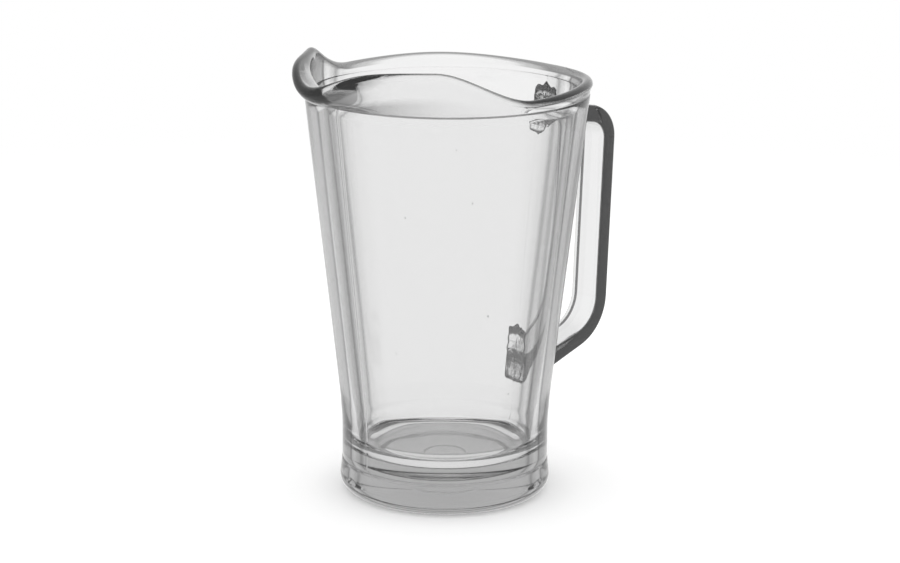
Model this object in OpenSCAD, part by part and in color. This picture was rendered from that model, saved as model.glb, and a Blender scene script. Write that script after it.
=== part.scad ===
// Glass beer pitcher: a pressed vessel with a raised pouring collar, and a strap handle stuck on hot.
// Millimetres. The table is z = 0, the vessel axis is Z, the handle is on +X and the spout on -X.

/* [Vessel] */
// height of the crease where the wall ends and the rim begins
crease_h = 213; // [195:1:230]
// outer radius of the wall at the crease
wall_top_r = 73.6; // [70:0.2:78]
// outer radius of the straight waist above the foot
waist_r = 54.2; // [51:0.2:56]
// height at which the waist turns into the tapered wall
waist_h = 43; // [38:1:50]
// thickness of the wall at the crease
wall_t = 5.6; // [4.8:0.1:6.6]
// height of the inside floor above the table
floor_h = 22.5; // [18:0.5:26]
// thickness of the wall at the waist, beside the inside floor
waist_t = 7.2; // [5.6:0.1:8.4]
// radius of the hollow corner between floor and wall
corner_r = 12; // [8:0.5:16]

/* [Foot] */
// how far the foot stands out beyond the waist
foot_swell = 1.1; // [0.6:0.1:2]
// radius of the rounded foot edge
foot_round = 8.6; // [7:0.2:9.4]
// radius of the moulded groove above the foot
groove_r = 0.8; // [0.5:0.1:1.2]
// width of the flat ring that the pitcher stands on
bearing_w = 9.7; // [7:0.1:13]
// depth of the hollow under the base
recess_d = 3; // [2:0.2:4.5]

/* [Rim and spout] */
// half thickness of the rounded rim, on the handle side
rim_round = 3.1; // [2.8:0.1:3.6]
// half thickness of the thinner lip around the spout
lip_round = 2.2; // [1.9:0.1:2.8]
// half thickness of the lip at the tip of the spout
tip_round = 3; // [2.4:0.1:3.4]
// how far the middle of the rim sits inside the wall's outer face
rim_inset = 2; // [1:0.1:2.6]
// height of the rim's centre above the crease, on the handle side
rim_rise = 2.4; // [2:0.1:3.6]
// how far the rim swells up on each side of the handle
rim_wave = 2; // [0:0.2:3]
// how far the collar rises around the spout
collar_rise = 16.5; // [12:0.5:20]
// how far the collar leans in around the spout
collar_lean = 2; // [0:0.1:3]
// how far the tip of the spout reaches out beyond the collar
tip_reach = 21.5; // [17:0.5:24]
// how far the tip of the spout dips below the collar
tip_dip = 9.5; // [6:0.5:11]

/* [Handle] */
// depth of the hand gap, from the wall to the inside of the strap at the top
hand_gap = 34; // [29:0.5:40]
// width of the strap
strap_w = 19.5; // [17:0.5:22]
// thickness of the strap at the grip
strap_t = 8.8; // [7:0.2:10]
// extra thickness of the arms towards the wall
strap_swell = 1.8; // [0:0.2:3]
// extra thickness where each end spreads out on its weld
end_spread = 7; // [5:0.5:9]
// distance of the upper weld below the crease
upper_drop = 19; // [18:0.5:24]
// height of the lower weld above the table
lower_h = 62; // [58:1:70]
// how far the top corner of the handle sits below the upper weld
top_fall = 6.2; // [4:0.2:8]
// how far the bottom corner of the handle sits above the lower weld
bottom_rise = 9.6; // [7:0.2:13]
// how far the end of the lower arm sits below the middle of its weld
bottom_drop = 8.4; // [6:0.2:9.4]
// how far the grip leans in towards the bottom
grip_lean = 5.2; // [3:0.2:8]
// radius of the handle's top bend, along the middle of the strap
top_bend = 14; // [11:0.5:17]
// radius of the handle's bottom bend, along the middle of the strap
bottom_bend = 24; // [18:0.5:27]

/* [Weld pads] */
// thickness of the glass pad between the wall and each end of the handle
pad_t = 2; // [1.2:0.1:3]
// width of each pad
pad_w = 20; // [18:0.5:22]
// height of the upper pad
upper_pad_h = 27; // [25:0.5:30]
// height of the lower pad
lower_pad_h = 31; // [30:0.5:33]

/* [Hidden] */

$fn = 96;
taper = (wall_top_r - waist_r) / (crease_h - waist_h);
foot_r = waist_r + foot_swell;
upper_h = crease_h - upper_drop;
bearing_in_r = foot_r - foot_round - bearing_w;
inner_top_r = wall_top_r - wall_t;
inner_low_r = waist_r - waist_t;
floor_r = inner_low_r - corner_r;
neck_r = wall_top_r - wall_t / 2;

// outer radius of the tapered wall at a height
function wall_r(z) = waist_r + taper * (z - waist_h);

// smooth step that is 1 around the spout and 0 on the handle side
function collar(a) = let (t = max(0, min(1, (85 - a) / 42))) t * t * (3 - 2 * t);
function bell(a, w) = exp(-(a / w) * (a / w));

// height, radius, half thickness and lean of the rim at an angle from the spout
function rim_z(a) = crease_h + rim_rise + rim_wave * bell(a - 128, 30)
    + collar_rise * collar(a) - tip_dip * bell(a, 12.3);
function rim_r(a) = wall_top_r - rim_inset - collar_lean * collar(a) + tip_reach * bell(a, 24.5);
function rim_t(a) = rim_round + (lip_round - rim_round) * collar(a) + (tip_round - lip_round) * bell(a, 12.3);
function rim_lean(a) = 43 * bell(a, 19.4);
// share of the spout's thick beak, which flares out straight from the crease
function beak(a) = bell(a, 22);

// points along the middle of the collar, from the neck (s = 0) to the rim (s = 1)
function bend_at(a, s) =
    let (bow = (0.55 - 0.3 * beak(a)) * (rim_z(a) - crease_h))
    let (p0 = [neck_r, crease_h])
    let (p1 = [neck_r + taper * bow, crease_h + bow])
    let (p2 = [rim_r(a), rim_z(a)])
    (1 - s) * (1 - s) * p0 + 2 * s * (1 - s) * p1 + s * s * p2;
function lean_at(a, s) = rim_lean(a) * s;
function half_t(a, s) = (wall_t / 2 - 0.35) * (1 - s) + rim_t(a) * s;
function side_at(a, s, side) =
    bend_at(a, s) + side * half_t(a, s) * [cos(lean_at(a, s)), -sin(lean_at(a, s))];
// a point of the rounded rim, at an angle round it from the outside
function cap_at(a, q) = [rim_r(a), rim_z(a)] + rim_t(a) * [cos(q - rim_lean(a)), sin(q - rim_lean(a))];
// the outside of the collar: plain at the back and sides, and a beak at the spout
function outside_at(a, s) =
    let (from = side_at(a, 0, 1))
    let (to = cap_at(a, 0))
    let (knee = [from[0] + 0.75 * (to[0] - from[0]), from[1] + 0.15 * (to[1] - from[1])])
    let (flared = (1 - s) * (1 - s) * from + 2 * s * (1 - s) * knee + s * s * to)
    side_at(a, s, 1) * (1 - beak(a)) + flared * beak(a);

CAP = 8;
SIDES = [0.2, 0.4, 0.6, 0.8];
COLLAR_STEPS = 108;

// one closed section of the collar: up the outside, over the rounded rim, down the inside
function collar_section(a) = concat(
    [[neck_r + wall_t / 2 - 0.6, crease_h - 1.2]],
    [side_at(a, 0, 1) + [0, 0.15]],
    [for (s = SIDES) outside_at(a, s)],
    [for (k = [0 : CAP]) cap_at(a, 180 * k / CAP)],
    [for (k = [len(SIDES) - 1 : -1 : 0]) side_at(a, SIDES[k], -1)],
    [side_at(a, 0, -1) + [0, 0.15]],
    [[neck_r - wall_t / 2 + 0.6, crease_h - 1.2]]);

// joins a ring of closed sections into one solid
function ring_faces(n, m) = [for (i = [0 : n - 1]) for (j = [0 : m - 1]) each
    let (i2 = (i + 1) % n)
    let (j2 = (j + 1) % m)
    [[i * m + j, i * m + j2, i2 * m + j2], [i * m + j, i2 * m + j2, i2 * m + j]]];

module collar_ring() {
    n = COLLAR_STEPS;
    m = len(collar_section(0));
    points = [for (i = [0 : n - 1])
        let (w = 360 * i / n)
        let (a = abs(w > 180 ? w - 360 : w))
        for (p = collar_section(a))
            [p[0] * cos(180 + w), p[0] * sin(180 + w), p[1]]];
    polyhedron(points = points, faces = ring_faces(n, m), convexity = 6);
}

module outer_section() {
    polygon([
        [0, 0],
        [foot_r - foot_round, 0],
        [foot_r - foot_round, foot_round],
        [foot_r, foot_round],
        [waist_r, 2 * foot_round + groove_r],
        [waist_r, waist_h],
        [wall_top_r, crease_h],
        [0, crease_h]]);
    translate([foot_r - foot_round, foot_round]) circle(r = foot_round);
}

module cavity_section() {
    polygon([
        [0, floor_h],
        [floor_r, floor_h],
        [inner_low_r, floor_h + corner_r],
        [inner_top_r, crease_h],
        [inner_top_r, crease_h + 1],
        [0, crease_h + 1]]);
    intersection() {
        translate([floor_r, floor_h + corner_r]) circle(r = corner_r);
        translate([floor_r - 1, floor_h]) square([corner_r + 1, corner_r]);
    }
}

module recess_section() {
    polygon([
        [0, -1],
        [bearing_in_r, -1],
        [bearing_in_r, 0],
        [bearing_in_r - 3, recess_d * 0.7],
        [0, recess_d]]);
}

module body() {
    color([0.86, 0.9, 0.9, 0.35])
    union() {
        rotate_extrude()
        difference() {
            outer_section();
            cavity_section();
            recess_section();
            translate([waist_r + groove_r * 0.45, 2 * foot_round + groove_r]) circle(r = groove_r);
        }
        collar_ring();
    }
}

// corners of the handle's middle line, in the plane of the handle
top_x = wall_r(upper_h) + hand_gap + strap_t / 2;
// how far the strap runs into the wall before its ends are cut back to the pads
END_IN = 5;
corners = [
    [wall_r(upper_h) - END_IN, upper_h],
    [top_x, upper_h - top_fall],
    [top_x - grip_lean, lower_h + bottom_rise],
    [wall_r(lower_h) - END_IN, lower_h - bottom_drop]];

function unit(v) = v / norm(v);

// points of a rounded corner: the bend from one straight run into the next
function bend_points(a, b, c, r, steps) =
    let (u = unit(a - b))
    let (v = unit(c - b))
    let (half = acos(u * v) / 2)
    let (mid = b + unit(u + v) * r / sin(half))
    let (from = b + u * r / tan(half) - mid)
    let (to = b + v * r / tan(half) - mid)
    let (w = 180 - 2 * half)
    [for (k = [0 : steps]) mid + (from * sin(w * (1 - k / steps)) + to * sin(w * k / steps)) / sin(w)];

TURN = 9;
RUN = 8;
top_turn = bend_points(corners[0], corners[1], corners[2], top_bend, TURN);
low_turn = bend_points(corners[1], corners[2], corners[3], bottom_bend, TURN);
path = concat(
    [for (k = [0 : RUN - 1]) corners[0] + (top_turn[0] - corners[0]) * k / RUN],
    top_turn,
    [for (k = [1 : RUN - 1]) top_turn[TURN] + (low_turn[0] - top_turn[TURN]) * k / RUN],
    low_turn,
    [for (k = [1 : RUN]) low_turn[TURN] + (corners[3] - low_turn[TURN]) * k / RUN]);
LAST = len(path) - 1;

// direction across the strap's thickness at a point of the path
function across(k) =
    let (d = unit(path[min(LAST, k + 1)] - path[max(0, k - 1)]))
    [-d[1], d[0]];
function thick(k) =
    let (off = min(norm(path[k] - path[0]), norm(path[k] - path[LAST])) - END_IN - pad_t)
    let (arm = max(0, min(1, 1 - off / 34)))
    let (spread = max(0, min(1, 1 - off / 13)))
    strap_t + strap_swell * arm + end_spread * spread * spread;

SIDE = 24;
// rounded strap section: a flattened oval with full edges
function strap_xy(q, t) = [
    sign(cos(q)) * pow(abs(cos(q)), 0.55) * strap_w / 2,
    sign(sin(q)) * pow(abs(sin(q)), 0.75) * t / 2];

module strap() {
    points = [for (k = [0 : LAST]) for (j = [0 : SIDE - 1])
        let (s = strap_xy(360 * j / SIDE, thick(k)))
        let (p = path[k] + across(k) * s[1])
        [p[0], s[0], p[1]]];
    sides = [for (k = [0 : LAST - 1]) for (j = [0 : SIDE - 1]) each
        let (j2 = (j + 1) % SIDE)
        [[k * SIDE + j, k * SIDE + j2, (k + 1) * SIDE + j2],
         [k * SIDE + j, (k + 1) * SIDE + j2, (k + 1) * SIDE + j]]];
    first = [for (j = [SIDE - 1 : -1 : 0]) j];
    last = [for (j = [0 : SIDE - 1]) LAST * SIDE + j];
    polyhedron(points = points, faces = concat([first], sides, [last]), convexity = 4);
}

// solid that follows the waist and the tapered wall, set off from them
module wall_cone(extra) {
    translate([0, 0, 2 * foot_round])
        cylinder(h = waist_h - 2 * foot_round, r = waist_r + extra);
    translate([0, 0, waist_h])
        cylinder(h = crease_h - waist_h, r1 = waist_r + extra, r2 = wall_top_r + extra);
}

module handle() {
    color([0.82, 0.87, 0.88, 0.4])
    difference() {
        strap();
        wall_cone(pad_t);
    }
}

// pad outline pushed out along +X: narrower towards the bottom, with its corners cut
PAD_CUT = 4;
module pad_block(h) {
    top_w = pad_w / 2;
    low_w = 0.8 * pad_w / 2;
    rotate([90, 0, 90])
    linear_extrude(wall_top_r + pad_t + 10)
    polygon([
        [PAD_CUT - low_w, -h / 2],
        [low_w - PAD_CUT, -h / 2],
        [low_w, PAD_CUT - h / 2],
        [top_w, h / 2 - PAD_CUT],
        [top_w - PAD_CUT, h / 2],
        [PAD_CUT - top_w, h / 2],
        [-top_w, h / 2 - PAD_CUT],
        [-low_w, PAD_CUT - h / 2]]);
}

module weld_pad(z, h) {
    difference() {
        intersection() {
            translate([0, 0, z]) pad_block(h);
            wall_cone(pad_t);
        }
        wall_cone(0);
    }
}

module upper_weld_pad() {
    color([0.72, 0.78, 0.8, 0.5])
        weld_pad(upper_h, upper_pad_h);
}

module lower_weld_pad() {
    color([0.72, 0.78, 0.8, 0.5])
        weld_pad(lower_h, lower_pad_h);
}

body();
handle();
upper_weld_pad();
lower_weld_pad();
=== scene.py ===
import math

import bmesh
import bpy
from mathutils import Matrix, Quaternion, Vector, noise


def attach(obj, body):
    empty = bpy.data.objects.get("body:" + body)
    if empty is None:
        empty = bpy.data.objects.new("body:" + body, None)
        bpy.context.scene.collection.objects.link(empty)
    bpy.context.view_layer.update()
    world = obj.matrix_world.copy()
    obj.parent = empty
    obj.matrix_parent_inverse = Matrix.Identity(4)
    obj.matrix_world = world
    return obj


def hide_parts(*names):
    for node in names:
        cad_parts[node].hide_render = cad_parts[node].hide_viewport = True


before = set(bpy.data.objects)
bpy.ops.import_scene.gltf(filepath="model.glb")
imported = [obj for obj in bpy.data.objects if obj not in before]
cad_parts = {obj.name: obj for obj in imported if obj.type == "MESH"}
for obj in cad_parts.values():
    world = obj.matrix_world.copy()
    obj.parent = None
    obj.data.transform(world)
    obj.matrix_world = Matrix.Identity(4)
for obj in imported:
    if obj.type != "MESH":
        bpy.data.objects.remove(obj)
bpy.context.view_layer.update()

# Vessel: one heavy pressing of clear glass, with foot, wall, rim and spout in one run.
# It is pressed in a two-part mould, so a fine seam runs down it under the spout and under
# the handle. Its edges are fire polished, and the ring that it stands on is stippled.
MM = 0.001
CREASE_H = 213 * MM
WALL_TOP_R = 73.6 * MM
WAIST_R = 54.2 * MM
WAIST_H = 43 * MM
WALL_T = 5.6 * MM
FLOOR_H = 22.5 * MM
FLOOR_R = 35 * MM
CORNER_R = 12 * MM
FOOT_R = 55.3 * MM
FOOT_ROUND = 8.6 * MM
BEARING_IN_R = 37 * MM
RECESS_D = 3 * MM
GROOVE_H = 18 * MM
GROOVE_R = 0.8 * MM
RIM_ROUND = 3.1 * MM
LIP_ROUND = 2.2 * MM
TIP_ROUND = 3 * MM
RIM_INSET = 2 * MM
RIM_RISE = 2.4 * MM
RIM_WAVE = 2 * MM
COLLAR_RISE = 16.5 * MM
COLLAR_LEAN = 2 * MM
TIP_REACH = 21.5 * MM
TIP_DIP = 9.5 * MM
CREASE_STEP = 0.35 * MM
COLLAR_END_ARC = 85
COLLAR_FALL_ARC = 42
REACH_ARC = 24.5
TIP_ARC = 12.3
WAVE_AT = 128
WAVE_ARC = 30
RIM_LEAN = 43
LEAN_ARC = 22.5
BEAK_ARC = 22
TAPER = (WALL_TOP_R - WAIST_R) / (CREASE_H - WAIST_H)
NECK_R = WALL_TOP_R - WALL_T / 2


def wall_radius(z):
    """Outer radius of the tapered wall at a height."""
    return WAIST_R + TAPER * (z - WAIST_H)


def bell(degrees, width):
    return math.exp(-((degrees / width) ** 2))


def collar_share(degrees):
    """1 around the spout and 0 on the handle side, with a smooth change between."""
    t = min(1.0, max(0.0, (COLLAR_END_ARC - degrees) / COLLAR_FALL_ARC))
    return t * t * (3 - 2 * t)


def rim_middle(degrees):
    """Radius and height of the middle of the rounded rim, at an angle from the spout."""
    share = collar_share(degrees)
    radius = WALL_TOP_R - RIM_INSET - COLLAR_LEAN * share
    radius += TIP_REACH * bell(degrees, REACH_ARC)
    height = CREASE_H + RIM_RISE + RIM_WAVE * bell(degrees - WAVE_AT, WAVE_ARC)
    height += COLLAR_RISE * share - TIP_DIP * bell(degrees, TIP_ARC)
    return Vector((radius, height))


def rim_half(degrees):
    """Half thickness of the rim: full on the handle side, thin at the collar, fuller at the tip."""
    thinned = RIM_ROUND + (LIP_ROUND - RIM_ROUND) * collar_share(degrees)
    return thinned + (TIP_ROUND - LIP_ROUND) * bell(degrees, TIP_ARC)


def rim_lean(degrees):
    return math.radians(RIM_LEAN * bell(degrees, LEAN_ARC))


def curve(start, knee, end, place):
    return (1 - place) ** 2 * start + 2 * place * (1 - place) * knee + place ** 2 * end


def collar_point(degrees, side, place):
    """A point of the collar's section. On a side, place runs from the neck (0) to the rim (1).
    On the rounded cap, where side is 0, place is the angle round it from the outside."""
    rim = rim_middle(degrees)
    if side == 0:
        turn = math.radians(place) - rim_lean(degrees)
        return rim + rim_half(degrees) * Vector((math.cos(turn), math.sin(turn)))
    beak = bell(degrees, BEAK_ARC)
    bow = (0.55 - 0.3 * beak) * (rim.y - CREASE_H)
    neck = Vector((NECK_R, CREASE_H))
    middle = curve(neck, neck + bow * Vector((TAPER, 1.0)), rim, place)
    half = (WALL_T / 2 - CREASE_STEP) * (1 - place) + rim_half(degrees) * place
    lean = rim_lean(degrees) * place
    plain = middle + side * half * Vector((math.cos(lean), -math.sin(lean)))
    if side < 0:
        return plain
    # under the spout the outside flares straight out from the crease, as a thick beak
    start = neck + Vector((WALL_T / 2 - CREASE_STEP, 0.0))
    end = collar_point(degrees, 0, 0)
    knee = start + Vector((0.75 * (end.x - start.x), 0.15 * (end.y - start.y)))
    return plain.lerp(curve(start, knee, end, place), beak)


vessel = bmesh.new()
row_mark = vessel.verts.layers.int.new("row")
shade_mark = vessel.verts.layers.float.new("shade")
rim_shade_mark = vessel.verts.layers.float.new("rim")
beak_shade_mark = vessel.verts.layers.float.new("beak")
zones = []


def draw_to(zone, radius, height, steps, detail=None):
    """Carries the vessel's section on to a point in equal steps, and notes what each row is."""
    tip = vessel.verts[-1]
    start, goal = tip.co.copy(), Vector((radius, 0.0, height))
    for i in range(1, steps + 1):
        tip = bmesh.ops.extrude_vert_indiv(vessel, verts=[tip])["verts"][0]
        tip.co = start.lerp(goal, i / steps)
        vessel.verts.ensure_lookup_table()
        tip[row_mark] = len(zones)
        zones.append((zone, detail, i / steps))


def draw_arc(zone, centre_r, centre_z, degrees, steps):
    """Carries the section round a centre. Positive degrees turn from +X towards +Z."""
    tip = vessel.verts[-1]
    arm = tip.co - Vector((centre_r, 0.0, centre_z))
    for i in range(1, steps + 1):
        tip = bmesh.ops.extrude_vert_indiv(vessel, verts=[tip])["verts"][0]
        turn = Matrix.Rotation(-math.radians(degrees) * i / steps, 3, "Y")
        tip.co = Vector((centre_r, 0.0, centre_z)) + turn @ arm
        vessel.verts.ensure_lookup_table()
        tip[row_mark] = len(zones)
        zones.append((zone, None, i / steps))


HOLLOW_ROWS = 26
BEARING_ROWS = 9
FOOT_ROWS = 20
vessel.verts.new((0.0, 0.0, RECESS_D))[row_mark] = 0
vessel.verts.ensure_lookup_table()
zones.append(("hollow", None, 0.0))
draw_to("hollow", 10.6 * MM, RECESS_D - 0.2 * MM, 12)
draw_to("hollow", 11.4 * MM, RECESS_D - 0.5 * MM, 2)
draw_to("hollow", BEARING_IN_R - 3 * MM, 0.7 * RECESS_D, HOLLOW_ROWS)
draw_to("hollow_edge", BEARING_IN_R, 0.0, 4)
draw_to("bearing", FOOT_R - FOOT_ROUND, 0.0, BEARING_ROWS)
draw_arc("foot_round", FOOT_R - FOOT_ROUND, FOOT_ROUND, 90, FOOT_ROWS)
draw_to("foot", WAIST_R + 0.12 * MM, GROOVE_H - GROOVE_R, 8)
draw_to("groove", WAIST_R - 0.2 * MM, GROOVE_H - 0.35 * MM, 3)
draw_to("groove", WAIST_R - 0.2 * MM, GROOVE_H + 0.35 * MM, 2)
draw_to("groove", WAIST_R, GROOVE_H + GROOVE_R, 3)
draw_to("waist", WAIST_R, WAIST_H - 8 * MM, 6)
draw_to("waist", WAIST_R + 0.16 * MM, WAIST_H - 3 * MM, 2)
draw_to("waist", WAIST_R + 0.55 * MM, WAIST_H + 2 * MM, 2)
draw_to("wall", wall_radius(WAIST_H + 9 * MM), WAIST_H + 9 * MM, 3)
draw_to("wall", wall_radius(CREASE_H - 1.2 * MM), CREASE_H - 1.2 * MM, 40)
draw_to("crease", WALL_TOP_R - CREASE_STEP - 0.25 * MM, CREASE_H - 0.2 * MM, 4)
COLLAR_ROWS = 14
CAP_ROWS = 18
for i in range(COLLAR_ROWS):
    place = i / COLLAR_ROWS
    draw_to("collar", *collar_point(180, 1, place), 1, (1, place))
for i in range(CAP_ROWS + 1):
    place = 180 * i / CAP_ROWS
    draw_to("collar", *collar_point(180, 0, place), 1, (0, place))
for i in range(COLLAR_ROWS - 1, -1, -1):
    place = i / COLLAR_ROWS
    draw_to("collar", *collar_point(180, -1, place), 1, (-1, place))
draw_to("inside", WALL_TOP_R - WALL_T - 0.1 * MM, CREASE_H - 3 * MM, 2)
draw_to("inside", FLOOR_R + CORNER_R, FLOOR_H + CORNER_R, 40)
draw_arc("corner", FLOOR_R, FLOOR_H + CORNER_R, -90, 14)
draw_to("floor", 0.0, FLOOR_H, 38)

# The section is turned round the vessel's axis, with finer steps at the two mould seams.
SEAM_ARC = 6
SEAM_STEPS = 16
HALF_STEPS = 132
bmesh.ops.rotate(vessel, verts=vessel.verts, cent=(0, 0, 0),
                 matrix=Matrix.Rotation(-math.radians(SEAM_ARC / 2), 3, "Z"))
turned = list(vessel.verts) + list(vessel.edges)
for degrees, steps in 2 * ((SEAM_ARC, SEAM_STEPS), (180 - SEAM_ARC, HALF_STEPS)):
    turned = bmesh.ops.spin(vessel, geom=turned, cent=(0, 0, 0), axis=(0, 0, 1), dvec=(0, 0, 0),
                            angle=math.radians(degrees), steps=steps)["geom_last"]
bmesh.ops.remove_doubles(vessel, verts=vessel.verts, dist=0.002 * MM)

# Each row is then moved to the pressed shape: the raised collar and pinched spout, the seams,
# the soft waves of chilled glass, the stipple and the turning rings of the base mould.
SEAM_H = 0.16 * MM
SEAM_HALF_W = 0.42 * MM
STIPPLE_D = 0.07 * MM
STIPPLE_ARC = (180 - SEAM_ARC) / HALF_STEPS
HOLLOW_STIPPLE_D = 0.015 * MM
HOLLOW_STIPPLE_R = 14 * MM
TURNING_D = 0.004 * MM
HOLLOW_TURNING = 2.1 * MM
FLOOR_TURNING = 4.2 * MM
OUTER_SWELL = 0.10 * MM
INNER_SWELL = 0.16 * MM
STEADY_H = 48 * MM
STEADY_RUN = 50 * MM
CREASE_SHADE = 0.9
RIM_SHADE_FROM = 0.8
BEAK_SHADE = 0.97
BEAK_SHADE_TO = 0.5
BEAK_SHADE_ARC = 36
SHADE_FADE = 0.2
for vert in vessel.verts:
    zone, detail, place = zones[vert[row_mark]]
    radius = math.hypot(vert.co.x, vert.co.y)
    bearing = math.atan2(vert.co.y, vert.co.x)
    around = Vector((math.cos(bearing), math.sin(bearing), 0.0))
    height = vert.co.z
    if zone == "collar":
        from_spout = abs(math.degrees(math.atan2(vert.co.y, -vert.co.x)))
        radius, height = collar_point(from_spout, *detail)
        # painted shade: the rim's rounded cap and the top of the collar get a darker outline
        vert[rim_shade_mark] = 1.0 if detail[0] == 0 else max(0.0, (detail[1] - RIM_SHADE_FROM) / SHADE_FADE)
        # painted shade: the outside just under the beak, above the crease, is painted near black
        if detail[0] == 1:
            low_rows = min(1.0, max(0.0, (BEAK_SHADE_TO - detail[1]) / SHADE_FADE))
            vert[beak_shade_mark] = BEAK_SHADE * bell(from_spout, BEAK_SHADE_ARC) * low_rows
    # painted shade: a dark line along the crease, seen from outside
    if zone == "crease":
        vert[shade_mark] = CREASE_SHADE
    steady = min(1.0, max(0.0, (height - STEADY_H) / STEADY_RUN))
    if zone in ("wall", "waist"):
        off_seam = radius * abs(math.sin(bearing))
        radius += SEAM_H * math.exp(-((off_seam / SEAM_HALF_W) ** 2))
        swell = noise.noise(Vector((around.x * 2.2, around.y * 2.2, height * 9)))
        radius += OUTER_SWELL * swell * steady
    if zone == "inside":
        swell = noise.noise(Vector((around.x * 2.8 + 7, around.y * 2.8, height * 7)))
        radius += INNER_SWELL * swell * steady
    if (zone == "bearing" and 0.05 < place < 0.95) or (zone == "foot_round" and place < 0.42):
        column = round(math.degrees(bearing) / STIPPLE_ARC)
        rows = BEARING_ROWS if zone == "bearing" else FOOT_ROWS
        height += STIPPLE_D * ((column + round(place * rows)) % 2)
    if zone == "hollow" and radius > HOLLOW_STIPPLE_R:
        column = round(math.degrees(bearing) / STIPPLE_ARC)
        height += HOLLOW_STIPPLE_D * ((column + round(place * HOLLOW_ROWS)) % 2)
    if zone == "hollow":
        height += TURNING_D * math.sin(radius * 2 * math.pi / HOLLOW_TURNING)
    if zone == "floor":
        height += TURNING_D * math.sin(radius * 2 * math.pi / FLOOR_TURNING)
    vert.co = around * radius + Vector((0.0, 0.0, height))
bmesh.ops.recalc_face_normals(vessel, faces=vessel.faces)

# Seeds: a few tiny bubbles of air that stayed in the glass, as hollows inside the wall.
# Each has its bearing in degrees, its height and its radius in millimetres.
SEEDS = (
    (-111, 108, 0.35), (-150, 160, 0.30), (-96, 64, 0.28), (-62, 176, 0.32), (-20, 92, 0.30),
    (35, 140, 0.34), (80, 60, 0.3), (118, 171, 0.3), (160, 118, 0.36), (-128, 196, 0.26),
)
SEED_DEPTH = 3.0 * MM
for degrees, height, size in SEEDS:
    middle = wall_radius(height * MM) - SEED_DEPTH
    bearing = math.radians(degrees)
    spot = Vector((middle * math.cos(bearing), middle * math.sin(bearing), height * MM))
    bubble = bmesh.ops.create_icosphere(vessel, subdivisions=2, radius=size * MM,
                                        matrix=Matrix.Translation(spot))
    skin = {face for vert in bubble["verts"] for face in vert.link_faces}
    bmesh.ops.scale(vessel, verts=bubble["verts"], vec=(1.0, 1.0, 1.7), space=Matrix.Translation(-spot))
    bmesh.ops.reverse_faces(vessel, faces=list(skin))


def finished_piece(name, shape, material, node):
    """Makes a smooth piece from a bmesh, gives it its glass and sets it in the frame."""
    mesh = bpy.data.meshes.new(name)
    shape.to_mesh(mesh)
    shape.free()
    mesh.polygons.foreach_set("use_smooth", [True] * len(mesh.polygons))
    mesh.materials.append(material)
    piece = bpy.data.objects.new(name, mesh)
    bpy.context.scene.collection.objects.link(piece)
    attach(piece, "root")
    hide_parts(node)
    return piece


def glass_surface_group():
    """Shared by every glass: a faint uneven polish, fine rubbing marks and a slow ripple."""
    group = bpy.data.node_groups.new("glass_surface", "ShaderNodeTree")
    face = group.interface
    for socket, value in (("Ripple Scale", 30.0), ("Mark Scale", 90.0), ("Haze", 0.02)):
        face.new_socket(socket, in_out="INPUT", socket_type="NodeSocketFloat").default_value = value
    for socket in ("Roughness", "Height"):
        face.new_socket(socket, in_out="OUTPUT", socket_type="NodeSocketFloat")
    nodes, links = group.nodes, group.links
    given = nodes.new("NodeGroupInput")
    out = nodes.new("NodeGroupOutput")
    place = nodes.new("ShaderNodeTexCoord")
    ripple = nodes.new("ShaderNodeTexNoise")
    ripple.inputs["Detail"].default_value = 1.0
    marks = nodes.new("ShaderNodeTexNoise")
    marks.inputs["Detail"].default_value = 5.0
    marks.inputs["Roughness"].default_value = 0.7
    stretch = nodes.new("ShaderNodeMapping")
    stretch.inputs["Scale"].default_value = (1.0, 1.0, 0.22)
    spread = nodes.new("ShaderNodeMapRange")
    spread.inputs["From Min"].default_value = 0.5
    spread.inputs["From Max"].default_value = 0.85
    spread.inputs["To Min"].default_value = 0.0
    links.new(place.outputs["Object"], stretch.inputs["Vector"])
    links.new(stretch.outputs["Vector"], marks.inputs["Vector"])
    links.new(place.outputs["Object"], ripple.inputs["Vector"])
    links.new(given.outputs["Ripple Scale"], ripple.inputs["Scale"])
    links.new(given.outputs["Mark Scale"], marks.inputs["Scale"])
    links.new(marks.outputs["Fac"], spread.inputs["Value"])
    links.new(given.outputs["Haze"], spread.inputs["To Max"])
    links.new(spread.outputs["Result"], out.inputs["Roughness"])
    links.new(ripple.outputs["Fac"], out.inputs["Height"])
    return group


def fill_ramp(node, stops):
    """Sets a ramp node to greys at the given places."""
    ramp = node.color_ramp
    ramp.interpolation = "EASE"
    while len(ramp.elements) < len(stops):
        ramp.elements.new(0.5)
    for stop, (place, grey) in zip(ramp.elements, stops):
        stop.position = place
        stop.color = (grey, grey, grey, 1.0)


GLASS_SURFACE = glass_surface_group()
GLASS_IOR = 1.52


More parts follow.
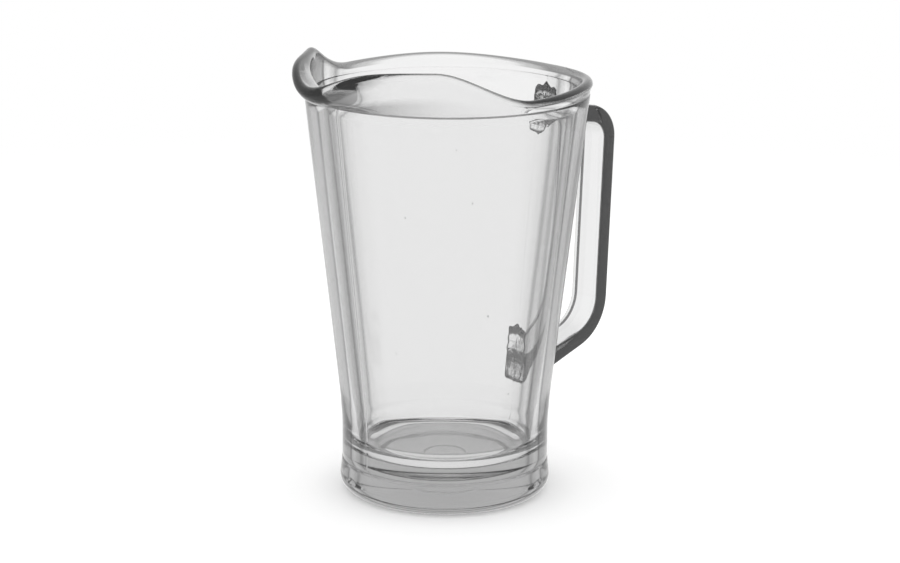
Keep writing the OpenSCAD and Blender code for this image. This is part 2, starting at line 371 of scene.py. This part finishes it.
def clear_glass(name, ripple_scale, mark_scale, haze, bump, absorbs, edge):
    """Colourless glass. Its skin is painted grey where it is seen at a slant, a painted shade that
    draws the edges in grey, and the glass darkens a little with its depth."""
    material = bpy.data.materials.new(name)
    material.use_nodes = True
    nodes, links = material.node_tree.nodes, material.node_tree.links
    shader = nodes["Principled BSDF"]
    shader.inputs["IOR"].default_value = GLASS_IOR
    shader.inputs["Transmission Weight"].default_value = 1.0
    slant = nodes.new("ShaderNodeLayerWeight")
    slant.inputs["Blend"].default_value = 0.5
    slant_shade = nodes.new("ShaderNodeValToRGB")
    fill_ramp(slant_shade, edge)
    links.new(slant.outputs["Facing"], slant_shade.inputs["Fac"])
    links.new(slant_shade.outputs["Color"], shader.inputs["Base Color"])
    surface = nodes.new("ShaderNodeGroup")
    surface.node_tree = GLASS_SURFACE
    surface.inputs["Ripple Scale"].default_value = ripple_scale
    surface.inputs["Mark Scale"].default_value = mark_scale
    surface.inputs["Haze"].default_value = haze
    relief = nodes.new("ShaderNodeBump")
    relief.inputs["Strength"].default_value = bump
    relief.inputs["Distance"].default_value = 0.5 * MM
    links.new(surface.outputs["Roughness"], shader.inputs["Roughness"])
    links.new(surface.outputs["Height"], relief.inputs["Height"])
    links.new(relief.outputs["Normal"], shader.inputs["Normal"])
    depth = nodes.new("ShaderNodeVolumeAbsorption")
    depth.inputs["Color"].default_value = (0.5, 0.5, 0.5, 1.0)
    depth.inputs["Density"].default_value = absorbs
    links.new(depth.outputs["Volume"], nodes["Material Output"].inputs["Volume"])
    return material


SHADE_DARKEST = 0.03


def paint_shade(material, attribute, outside_only):
    """Lets a value on the mesh paint a glass darker, as painted shade: at the crease, under the beak,
    on the strap's narrow sides and at the weld pads' outline, top edge and lines."""
    nodes, links = material.node_tree.nodes, material.node_tree.links
    mark = nodes.new("ShaderNodeAttribute")
    mark.attribute_name = attribute
    share = mark.outputs["Fac"]
    if outside_only:
        geometry = nodes.new("ShaderNodeNewGeometry")
        front = nodes.new("ShaderNodeMath")
        front.operation = "SUBTRACT"
        front.use_clamp = True
        links.new(share, front.inputs[0])
        links.new(geometry.outputs["Backfacing"], front.inputs[1])
        share = front.outputs["Value"]
    darker = nodes.new("ShaderNodeMix")
    darker.data_type = "FLOAT"
    darker.inputs["B"].default_value = SHADE_DARKEST
    colour = nodes["Principled BSDF"].inputs["Base Color"]
    links.new(share, darker.inputs["Factor"])
    links.new(colour.links[0].from_socket, darker.inputs["A"])
    links.new(darker.outputs["Result"], colour)


def paint_rim_outline(material, attribute, edge):
    """Paints the marked rounded edge of a glass with its own, darker outline over the slant, as painted
    shade.
    """
    nodes, links = material.node_tree.nodes, material.node_tree.links
    mark = nodes.new("ShaderNodeAttribute")
    mark.attribute_name = attribute
    outline = nodes.new("ShaderNodeValToRGB")
    fill_ramp(outline, edge)
    links.new(nodes["Layer Weight"].outputs["Facing"], outline.inputs["Fac"])
    drawn = nodes.new("ShaderNodeMix")
    drawn.data_type = "FLOAT"
    colour = nodes["Principled BSDF"].inputs["Base Color"]
    links.new(mark.outputs["Fac"], drawn.inputs["Factor"])
    links.new(colour.links[0].from_socket, drawn.inputs["A"])
    links.new(outline.outputs["Color"], drawn.inputs["B"])
    links.new(drawn.outputs["Result"], colour)


# Painted shade: greys over the slant of the skin, from facing (0) to edge on (1).
WALL_SLANT_SHADE = (
    (0.0, 0.93), (0.2, 0.93), (0.31, 0.88), (0.40, 0.72), (0.45, 0.25), (0.49, 0.56), (0.55, 0.84),
    (0.585, 0.70), (0.615, 0.08), (0.65, 0.27), (1.0, 0.22),
)
vessel_glass = clear_glass("clear_glass", 26.0, 80.0, 0.03, 0.06, 16.0, WALL_SLANT_SHADE)
RIM_SLANT_SHADE = ((0.0, 0.95), (0.1, 0.9), (0.2, 0.4), (0.35, 0.1), (1.0, 0.05))
paint_rim_outline(vessel_glass, "rim", RIM_SLANT_SHADE)
paint_shade(vessel_glass, "shade", True)
paint_shade(vessel_glass, "beak", False)
finished_piece("pitcher_vessel", vessel, vessel_glass, "body")

# Handle: a strap of the same glass, drawn hot from a separate gather and bent round.
# It is thickest at its two ends, where it spreads out on the wall and is fused to it. Its two narrow
# sides are painted dark, a painted shade for the darker look into the strap's whole width.
HAND_GAP = 34 * MM
STRAP_W = 19.5 * MM
STRAP_T = 8.8 * MM
STRAP_SWELL = 1.8 * MM
END_SPREAD = 7 * MM
PAD_T = 2 * MM
UPPER_H = CREASE_H - 19 * MM
LOWER_H = 62 * MM
SEAT_GAP = 0.15 * MM
TOP_FALL = 6.2 * MM
GRIP_LEAN = 5.2 * MM
BOTTOM_RISE = 9.6 * MM
BOTTOM_FALL = 6.7 * MM
TOP_BEND_R = 14 * MM
LOW_BEND_R = 24 * MM
SWELL_RUN = 34 * MM
SPREAD_RUN = 13 * MM
SIDE_FLATNESS = 0.22
FACE_FLATNESS = 0.25
SIDE_SHADE = 0.98
SIDE_SHADE_FROM = 0.66
SIDE_SHADE_FADE = 0.08
top_x = wall_radius(UPPER_H) + HAND_GAP + STRAP_T / 2
handle_corners = [
    Vector((wall_radius(UPPER_H), UPPER_H)),
    Vector((top_x, UPPER_H - TOP_FALL)),
    Vector((top_x - GRIP_LEAN, LOWER_H + BOTTOM_RISE)),
    Vector((wall_radius(LOWER_H), LOWER_H - BOTTOM_FALL)),
]


def rounded_corner(before, corner, after, radius, steps):
    """Points round a bend of the strap's middle line."""
    u, v = (before - corner).normalized(), (after - corner).normalized()
    half = u.angle(v) / 2
    middle = corner + (u + v).normalized() * radius / math.sin(half)
    start = corner + u * radius / math.tan(half) - middle
    turn = math.copysign(math.pi - 2 * half, v.cross(u))
    return [middle + Matrix.Rotation(turn * k / steps, 2) @ start for k in range(steps + 1)]


ARM_STEPS = 26
BEND_STEPS = 14
GRIP_STEPS = 24
top_bend = rounded_corner(*handle_corners[:3], TOP_BEND_R, BEND_STEPS)
low_bend = rounded_corner(*handle_corners[1:], LOW_BEND_R, BEND_STEPS)
strap_line = (
    [handle_corners[0].lerp(top_bend[0], (k / ARM_STEPS) ** 1.4) for k in range(ARM_STEPS)]
    + top_bend
    + [top_bend[-1].lerp(low_bend[0], k / GRIP_STEPS) for k in range(1, GRIP_STEPS)]
    + low_bend
    + [handle_corners[3].lerp(low_bend[-1], (k / ARM_STEPS) ** 1.4)
       for k in range(ARM_STEPS - 1, -1, -1)]
)
LAST = len(strap_line) - 1


def strap_point(k, turn):
    """A point of the strap's skin: station k along it, and an angle round its flattened oval."""
    here = strap_line[k]
    along = (strap_line[min(LAST, k + 1)] - strap_line[max(0, k - 1)]).normalized()
    off = min((here - strap_line[0]).length, (here - strap_line[LAST]).length) - PAD_T
    arm = min(1.0, max(0.0, 1 - off / SWELL_RUN))
    spread = min(1.0, max(0.0, 1 - off / SPREAD_RUN))
    thick = STRAP_T + STRAP_SWELL * arm + END_SPREAD * spread * spread
    c, s = math.cos(turn), math.sin(turn)
    side = math.copysign(abs(c) ** SIDE_FLATNESS, c) * STRAP_W / 2
    up = math.copysign(abs(s) ** FACE_FLATNESS, s) * thick / 2
    return Vector((here.x - along.y * up, side, here.y + along.x * up))


strap = bmesh.new()
side_shade_mark = strap.verts.layers.float.new("side")
ROUND_STEPS = 44
bmesh.ops.create_grid(strap, x_segments=LAST, y_segments=ROUND_STEPS, size=1.0)
for vert in strap.verts:
    station = round((vert.co.x + 1) / 2 * LAST)
    turn = (vert.co.y + 1) * math.pi
    # painted shade on the strap's two narrow sides
    on_side = (abs(math.cos(turn)) - SIDE_SHADE_FROM) / SIDE_SHADE_FADE
    vert[side_shade_mark] = SIDE_SHADE * min(1.0, max(0.0, on_side))
    vert.co = strap_point(station, turn)
    # the ends follow the round wall, with the weld pad between
    seat = wall_radius(vert.co.z) + PAD_T + SEAT_GAP
    reach = math.sqrt(max(0.0, seat * seat - vert.co.y ** 2))
    near_end = min(station, LAST - station)
    if near_end < ARM_STEPS:
        share = (1 - (near_end / ARM_STEPS)) ** 3
        vert.co.x = max(vert.co.x, reach) if near_end else reach
        wobble = noise.noise(vert.co * 130) * 0.5 * MM * share
        vert.co.z += wobble
bmesh.ops.remove_doubles(strap, verts=strap.verts, dist=0.002 * MM)
open_edges = [edge for edge in strap.edges if edge.is_boundary]
ends = bmesh.ops.holes_fill(strap, edges=open_edges, sides=0)["faces"]
bmesh.ops.inset_individual(strap, faces=ends, thickness=0.8 * MM, depth=0.0, use_even_offset=True)
bmesh.ops.recalc_face_normals(strap, faces=strap.faces)
# painted shade over the slant of the handle's and the weld pads' skin
HANDLE_SLANT_SHADE = ((0.0, 0.97), (0.25, 0.95), (0.5, 0.75), (1.0, 0.5))
handle_glass = clear_glass("handle_glass", 45.0, 120.0, 0.03, 0.08, 20.0, HANDLE_SLANT_SHADE)
paint_shade(handle_glass, "side", False)
finished_piece("strap_handle", strap, handle_glass, "handle")

# Weld pads: the spread ends of hot glass that fuse the handle to the wall.
# They chilled against the wall as they were pressed on, so their faces are crinkled and their outline
# is ragged. Their outline, their top edge and thin lines across them are painted dark as painted shade,
# and the top edge is the darkest.
PAD_W = 20 * MM
WRINKLE = 0.45 * MM
PAD_SHADE_LINE = 0.45


def weld_pad(name, node, height, pad_h, seed):
    pad = bmesh.new()
    pad_shade = pad.verts.layers.float.new("pad_shade")
    for inner in (True, False):
        sheet = bmesh.ops.create_grid(pad, x_segments=46, y_segments=64, size=1.0)["verts"]
        for vert in sheet:
            a, b = vert.co.x, vert.co.y
            edge = max(abs(a), abs(b))
            ragged = noise.noise(Vector((a * 3.1 + seed, b * 3.7, 0.0))) * edge ** 4
            y = a * math.sqrt(1 - 0.30 * b * b) * (0.88 + 0.12 * b + 0.10 * ragged) * PAD_W / 2
            z = height + b * math.sqrt(1 - 0.22 * a * a) * (0.96 + 0.09 * ragged) * pad_h / 2
            z += 1.4 * MM * bell(a - 0.1, 0.2) * max(0.0, b) ** 8
            deep = math.sqrt(max(0.0, 1 - edge ** 8))
            crinkle = noise.turbulence(Vector((y * 240 + seed, z * 170, 3.0 * inner)), 3, True)
            middle = wall_radius(z) + PAD_T / 2
            half = (PAD_T / 2 - SEAT_GAP - WRINKLE * min(1.0, crinkle)) * deep
            seat = middle - half if inner else middle + half
            vert.co = (math.sqrt(seat * seat - y * y), y, z)
            # painted shade: thin dark lines, the outline and the top edge of the pad
            line = abs(noise.noise(Vector((y * 330 + seed, z * 190, 7.0))))
            top_shade_band = max(0.0, min(1.0, (b - 0.66 - 0.2 * ragged) / 0.06)) * (edge < 0.985)
            outline_shade = min(1.0, max(0.0, (edge - 0.86) / 0.05))
            vert[pad_shade] = max(outline_shade, top_shade_band, PAD_SHADE_LINE * bell(line, 0.07))
    bmesh.ops.remove_doubles(pad, verts=pad.verts, dist=0.002 * MM)
    bmesh.ops.recalc_face_normals(pad, faces=pad.faces)
    finished_piece(name, pad, weld_glass, node)


weld_glass = clear_glass("weld_glass", 160.0, 200.0, 0.7, 0.3, 30.0, HANDLE_SLANT_SHADE)
paint_shade(weld_glass, "pad_shade", False)
weld_pad("upper_weld", "upper_weld_pad", UPPER_H, 27 * MM, 3.0)
weld_pad("lower_weld", "lower_weld_pad", LOWER_H, 31 * MM, 11.0)

# Stage: a pale floor that fades into a white room, and a soft box above. The glass shows the same
# white floor and room that the camera sees, and the floor keeps the shadow.
floor_mesh = bmesh.new()
bmesh.ops.create_grid(floor_mesh, x_segments=1, y_segments=1, size=3.0)
mesh = bpy.data.meshes.new("floor")
floor_mesh.to_mesh(mesh)
floor_mesh.free()
floor = bpy.data.objects.new("floor", mesh)
bpy.context.scene.collection.objects.link(floor)


def joined(nodes, links, operation, first, second, clamp=False):
    """A Math node on two sockets."""
    node = nodes.new("ShaderNodeMath")
    node.operation = operation
    node.use_clamp = clamp
    links.new(first, node.inputs[0])
    links.new(second, node.inputs[1])
    return node.outputs["Value"]


def grey_ramp(nodes, links, value, stops):
    """A ramp of greys over a value."""
    node = nodes.new("ShaderNodeValToRGB")
    fill_ramp(node, stops)
    links.new(value, node.inputs["Fac"])
    return node.outputs["Color"]


paper = bpy.data.materials.new("white_paper")
paper.use_nodes = True
nodes, links = paper.node_tree.nodes, paper.node_tree.links
nodes.remove(nodes["Principled BSDF"])
path = nodes.new("ShaderNodeLightPath")
place = nodes.new("ShaderNodeTexCoord")
away = nodes.new("ShaderNodeVectorMath")
away.operation = "LENGTH"
links.new(place.outputs["Object"], away.inputs[0])
by_glass = joined(nodes, links, "ADD", path.outputs["Is Glossy Ray"],
                  path.outputs["Is Transmission Ray"], True)
matt = nodes.new("ShaderNodeBsdfDiffuse")
matt.inputs["Color"].default_value = (0.8, 0.8, 0.8, 1.0)
lift = nodes.new("ShaderNodeEmission")
# what is added to the floor for the camera (metres, strength); it is a little less close to the foot, a
# painted shadow round it
CAMERA_LIFT_AND_SHADOW = ((0.05, 0.24), (0.075, 0.32), (0.2, 0.35))
lifted = grey_ramp(nodes, links, away.outputs["Value"], CAMERA_LIFT_AND_SHADOW)
links.new(joined(nodes, links, "MULTIPLY", path.outputs["Is Camera Ray"], lifted),
          lift.inputs["Strength"])
seen = nodes.new("ShaderNodeAddShader")
links.new(matt.outputs["BSDF"], seen.inputs[0])
links.new(lift.outputs["Emission"], seen.inputs[1])
through = nodes.new("ShaderNodeEmission")
through.inputs["Strength"].default_value = 1.0
shown = nodes.new("ShaderNodeMixShader")
links.new(by_glass, shown.inputs["Fac"])
links.new(seen.outputs["Shader"], shown.inputs[1])
links.new(through.outputs["Emission"], shown.inputs[2])
clear = nodes.new("ShaderNodeBsdfTransparent")
fade = nodes.new("ShaderNodeMixShader")
FLOOR_FADE = ((0.4, 0.0), (0.95, 1.0))
links.new(grey_ramp(nodes, links, away.outputs["Value"], FLOOR_FADE), fade.inputs["Fac"])
links.new(shown.outputs["Shader"], fade.inputs[1])
links.new(clear.outputs["BSDF"], fade.inputs[2])
links.new(fade.outputs["Shader"], nodes["Material Output"].inputs["Surface"])
mesh.materials.append(paper)

world = bpy.data.worlds.new("studio")
bpy.context.scene.world = world
world.use_nodes = True
nodes, links = world.node_tree.nodes, world.node_tree.links
background = nodes["Background"]
background.inputs["Strength"].default_value = 1.0
background.inputs["Color"].default_value = (1.0, 1.0, 1.0, 1.0)


def soft_box(name, place, aim, width, height, watts):
    lamp = bpy.data.lights.new(name, "AREA")
    lamp.shape = "RECTANGLE"
    lamp.size, lamp.size_y, lamp.energy = width, height, watts
    box = bpy.data.objects.new(name, lamp)
    box.location = place
    box.rotation_euler = (Vector(aim) - Vector(place)).to_track_quat("-Z", "Y").to_euler()
    bpy.context.scene.collection.objects.link(box)


soft_box("top_box", (0.0, 0.0, 1.8), (0.0, 0.0, 0.0), 1.4, 1.4, 3.0)

camera_data = bpy.data.cameras.new("camera")
camera_data.sensor_width = 36.0
camera_data.lens = 114.96
camera = bpy.data.objects.new("camera", camera_data)
camera.location = (-0.9704, -1.0819, 0.4834)
CAMERA_AIM = Vector((0.00158, -0.00143, 0.11155))
CAMERA_ROLL = Quaternion((0.0, 0.0, 1.0), math.radians(0.4))
aimed = (CAMERA_AIM - camera.location).to_track_quat("-Z", "Y")
camera.rotation_euler = (aimed @ CAMERA_ROLL).to_euler()
bpy.context.scene.collection.objects.link(camera)
bpy.context.scene.camera = camera
bpy.context.scene.view_settings.view_transform = "Standard"
